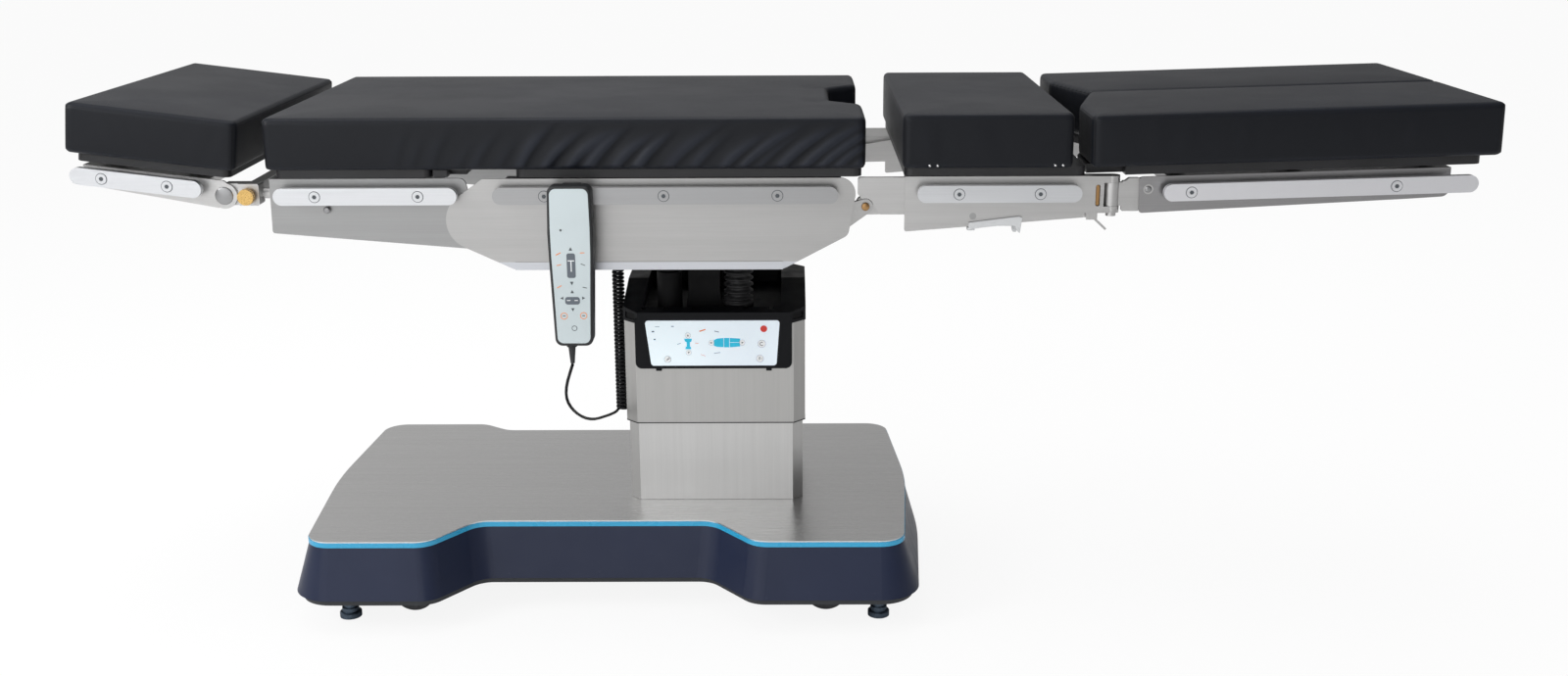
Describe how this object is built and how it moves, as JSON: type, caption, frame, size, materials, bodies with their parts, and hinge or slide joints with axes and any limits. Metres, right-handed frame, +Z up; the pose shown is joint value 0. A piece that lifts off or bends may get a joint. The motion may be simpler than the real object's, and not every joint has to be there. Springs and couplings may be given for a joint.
{
  "type": "operating table",
  "caption": "Mobile hydraulic operating table with a split padded top, side rails, a lifting and tilting column, a floor-locking base and a corded hand control.",
  "frame": {"origin": "on the floor, midway along the length and across the width of the whole table", "axes": "+X to the leg end, +Y away from the control panel side, +Z up"},
  "size_m": [2.0736, 0.6, 0.8178],
  "materials": {
    "cushion_leatherette": "matt grained polyurethane leatherette",
    "frame_steel": "satin stainless steel",
    "rail_steel": "bright satin stainless steel",
    "plate_black": "black phenolic laminate",
    "cover_steel": "vertically brushed stainless sheet",
    "deck_steel": "brushed stainless sheet",
    "skirt_navy": "satin moulded plastic",
    "strip_cyan": "satin plastic trim",
    "chassis_paint": "dark powder coat",
    "zinc": "zinc plated",
    "tyre_grey": "grey polyurethane tread",
    "cap_black": "textured black moulding",
    "panel_film": "printed membrane film",
    "casting": "grey machined casting",
    "bellows_rubber": "folded rubber",
    "chrome": "hard chrome",
    "knob_gold": "gold anodised, knurled",
    "lever_white": "white moulding",
    "handset_shell": "light grey face with dark rubber edge",
    "cord_black": "black flexible jacket"
  },
  "bodies": {
    "base": {"base_chassis": "chassis_paint", "base_skirt": "skirt_navy", "accent_strip": "strip_cyan", "deck_plate": "deck_steel", "lower_column_cover": "cover_steel", "outer_guide_tube": "casting", "power_pack": "chassis_paint"},
    "feet": {"floor_lock_feet": "zinc"},
    "lift_stage": {"middle_column_cover": "cover_steel", "middle_guide_tube": "casting"},
    "column": {"upper_column_cover": "cover_steel", "column_cap": "cap_black", "control_panel": "panel_film", "column_head": "casting", "ram_bellows": "bellows_rubber"},
    "yoke": {"tilt_yoke": "casting"},
    "trend_ram": {"trend_ram_rod": "chrome"},
    "saddle": {"saddle": "casting"},
    "tabletop": {"main_frame": "frame_steel", "main_top_plate": "plate_black", "main_side_rails": "rail_steel", "main_cushion": "cushion_leatherette", "fold_cushion": "cushion_leatherette", "handset_cord": "cord_black", "handset_coil": "cord_black"},
    "back": {"back_frame": "frame_steel", "back_top_plate": "plate_black", "back_side_rails": "rail_steel", "back_cushion": "cushion_leatherette", "head_connector": "frame_steel"},
    "knob_near": {"release_knob_near": "knob_gold"},
    "knob_far": {"release_knob_far": "knob_gold"},
    "head": {"head_frame": "frame_steel", "head_top_plate": "plate_black", "head_side_rails": "rail_steel", "head_cushion": "cushion_leatherette"},
    "seat": {"seat_frame": "frame_steel", "seat_top_plate": "plate_black", "seat_side_rails": "rail_steel", "seat_cushion": "cushion_leatherette"},
    "seat_lever": {"seat_release_lever": "lever_white"},
    "handset_unit": {"handset": "handset_shell"},
    "swivel_head_near": {"caster_fork_head_near": "zinc"},
    "wheel_head_near": {"caster_wheel_head_near": "tyre_grey"},
    "swivel_head_far": {"caster_fork_head_far": "zinc"},
    "wheel_head_far": {"caster_wheel_head_far": "tyre_grey"},
    "swivel_leg_near": {"caster_fork_leg_near": "zinc"},
    "wheel_leg_near": {"caster_wheel_leg_near": "tyre_grey"},
    "swivel_leg_far": {"caster_fork_leg_far": "zinc"},
    "wheel_leg_far": {"caster_wheel_leg_far": "tyre_grey"},
    "bracket_near": {"leg_bracket_near": "frame_steel"},
    "leg_near": {"leg_frame_near": "frame_steel", "leg_top_plate_near": "plate_black", "leg_cushion_near": "cushion_leatherette"},
    "lock_near": {"lock_lever_near": "frame_steel"},
    "bracket_far": {"leg_bracket_far": "frame_steel"},
    "leg_far": {"leg_frame_far": "frame_steel", "leg_top_plate_far": "plate_black", "leg_cushion_far": "cushion_leatherette"},
    "lock_far": {"lock_lever_far": "frame_steel"}
  },
  "joints": [
    {"name": "caster_swivel_head_near", "type": "hinge", "parent": "base", "child": "swivel_head_near", "pos_m": [-0.57, -0.207, 0.105], "axis": [0, 0, 1], "continuous": true},
    {"name": "caster_roll_head_near", "type": "hinge", "parent": "swivel_head_near", "child": "wheel_head_near", "pos_m": [-0.588, -0.207, 0.036], "axis": [0, 1, 0], "continuous": true},
    {"name": "caster_swivel_head_far", "type": "hinge", "parent": "base", "child": "swivel_head_far", "pos_m": [-0.57, 0.207, 0.105], "axis": [0, 0, 1], "continuous": true},
    {"name": "caster_roll_head_far", "type": "hinge", "parent": "swivel_head_far", "child": "wheel_head_far", "pos_m": [-0.588, 0.207, 0.036], "axis": [0, 1, 0], "continuous": true},
    {"name": "caster_swivel_leg_near", "type": "hinge", "parent": "base", "child": "swivel_leg_near", "pos_m": [0.048, -0.207, 0.105], "axis": [0, 0, 1], "continuous": true},
    {"name": "caster_roll_leg_near", "type": "hinge", "parent": "swivel_leg_near", "child": "wheel_leg_near", "pos_m": [0.066, -0.207, 0.036], "axis": [0, 1, 0], "continuous": true},
    {"name": "caster_swivel_leg_far", "type": "hinge", "parent": "base", "child": "swivel_leg_far", "pos_m": [0.048, 0.207, 0.105], "axis": [0, 0, 1], "continuous": true},
    {"name": "caster_roll_leg_far", "type": "hinge", "parent": "swivel_leg_far", "child": "wheel_leg_far", "pos_m": [0.066, 0.207, 0.036], "axis": [0, 1, 0], "continuous": true},
    {"name": "floor_lock", "type": "slide", "parent": "base", "child": "feet", "axis": [0, 0, 1], "range_m": [0, 0.01]},
    {"name": "column_lift", "type": "slide", "parent": "base", "child": "column", "axis": [0, 0, 1], "range_m": [-0.06, 0.19]},
    {"name": "stage_lift", "type": "slide", "parent": "base", "child": "lift_stage", "axis": [0, 0, 1], "range_m": [-0.03, 0.095]},
    {"name": "trendelenburg", "type": "hinge", "parent": "column", "child": "yoke", "pos_m": [-0.127, 0, 0.56], "axis": [0, -1, 0], "range_deg": [-25, 25], "deforming": ["ram_bellows", "handset_coil", "handset_cord"]},
    {"name": "ram_follow", "type": "slide", "parent": "column", "child": "trend_ram", "axis": [0, 0, 1], "range_m": [-0.0245, 0.0245]},
    {"name": "lateral_tilt", "type": "hinge", "parent": "yoke", "child": "saddle", "pos_m": [-0.127, 0, 0.605], "axis": [1, 0, 0], "range_deg": [-18, 18], "deforming": ["handset_coil", "handset_cord"]},
    {"name": "tabletop_slide", "type": "slide", "parent": "saddle", "child": "tabletop", "axis": [-1, 0, 0], "range_m": [-0.14, 0.14], "deforming": ["handset_coil", "handset_cord"]},
    {"name": "back_section", "type": "hinge", "parent": "tabletop", "child": "back", "pos_m": [-0.45, 0, 0.64], "axis": [0, 1, 0], "range_deg": [-30, 60], "deforming": ["fold_cushion"]},
    {"name": "head_section", "type": "hinge", "parent": "back", "child": "head", "pos_m": [-0.815, 0, 0.6786], "axis": [0, 1, 0], "range_deg": [-97, 18]},
    {"name": "release_knob_near", "type": "slide", "parent": "back", "child": "knob_near", "axis": [0, -1, 0], "range_m": [0, 0.008], "stiffness_N_per_m": 800},
    {"name": "release_knob_far", "type": "slide", "parent": "back", "child": "knob_far", "axis": [0, 1, 0], "range_m": [0, 0.008], "stiffness_N_per_m": 800},
    {"name": "seat_section", "type": "hinge", "parent": "tabletop", "child": "seat", "pos_m": [0.121, 0, 0.659], "axis": [0, 1, 0], "range_deg": [-15, 70]},
    {"name": "seat_release", "type": "hinge", "parent": "seat", "child": "seat_lever", "pos_m": [0.278, 0, 0.645], "axis": [0, -1, 0], "range_deg": [0, 15], "stiffness_Nm_per_rad": 3, "springref_deg": -5.73},
    {"name": "leg_spread_near", "type": "hinge", "parent": "seat", "child": "bracket_near", "pos_m": [0.481, -0.236, 0.676], "axis": [0, 0, -1], "range_deg": [0, 90]},
    {"name": "leg_section_near", "type": "hinge", "parent": "bracket_near", "child": "leg_near", "pos_m": [0.532, -0.236, 0.6842], "axis": [0, -1, 0], "range_deg": [-90, 8]},
    {"name": "leg_lock_near", "type": "hinge", "parent": "seat", "child": "lock_near", "pos_m": [0.452, -0.236, 0.644], "axis": [0, -1, 0], "range_deg": [0, 20], "stiffness_Nm_per_rad": 0.3, "springref_deg": -11.46},
    {"name": "leg_spread_far", "type": "hinge", "parent": "seat", "child": "bracket_far", "pos_m": [0.481, 0.236, 0.676], "axis": [0, 0, 1], "range_deg": [0, 90]},
    {"name": "leg_section_far", "type": "hinge", "parent": "bracket_far", "child": "leg_far", "pos_m": [0.532, 0.236, 0.6842], "axis": [0, -1, 0], "range_deg": [-90, 8]},
    {"name": "leg_lock_far", "type": "hinge", "parent": "seat", "child": "lock_far", "pos_m": [0.452, 0.236, 0.644], "axis": [0, -1, 0], "range_deg": [0, 20], "stiffness_Nm_per_rad": 0.3, "springref_deg": -11.46},
    {"name": "handset_lift_off", "type": "slide", "parent": "tabletop", "child": "handset_unit", "axis": [0, -0.5, 0.866], "range_m": [0, 0.25], "deforming": ["handset_cord"]}
  ],
  "couplings": [
    {"joint": "stage_lift", "follows": "column_lift", "ratio": 0.5},
    {"joint": "ram_follow", "follows": "trendelenburg", "m_per_rad": 0.055}
  ]
}
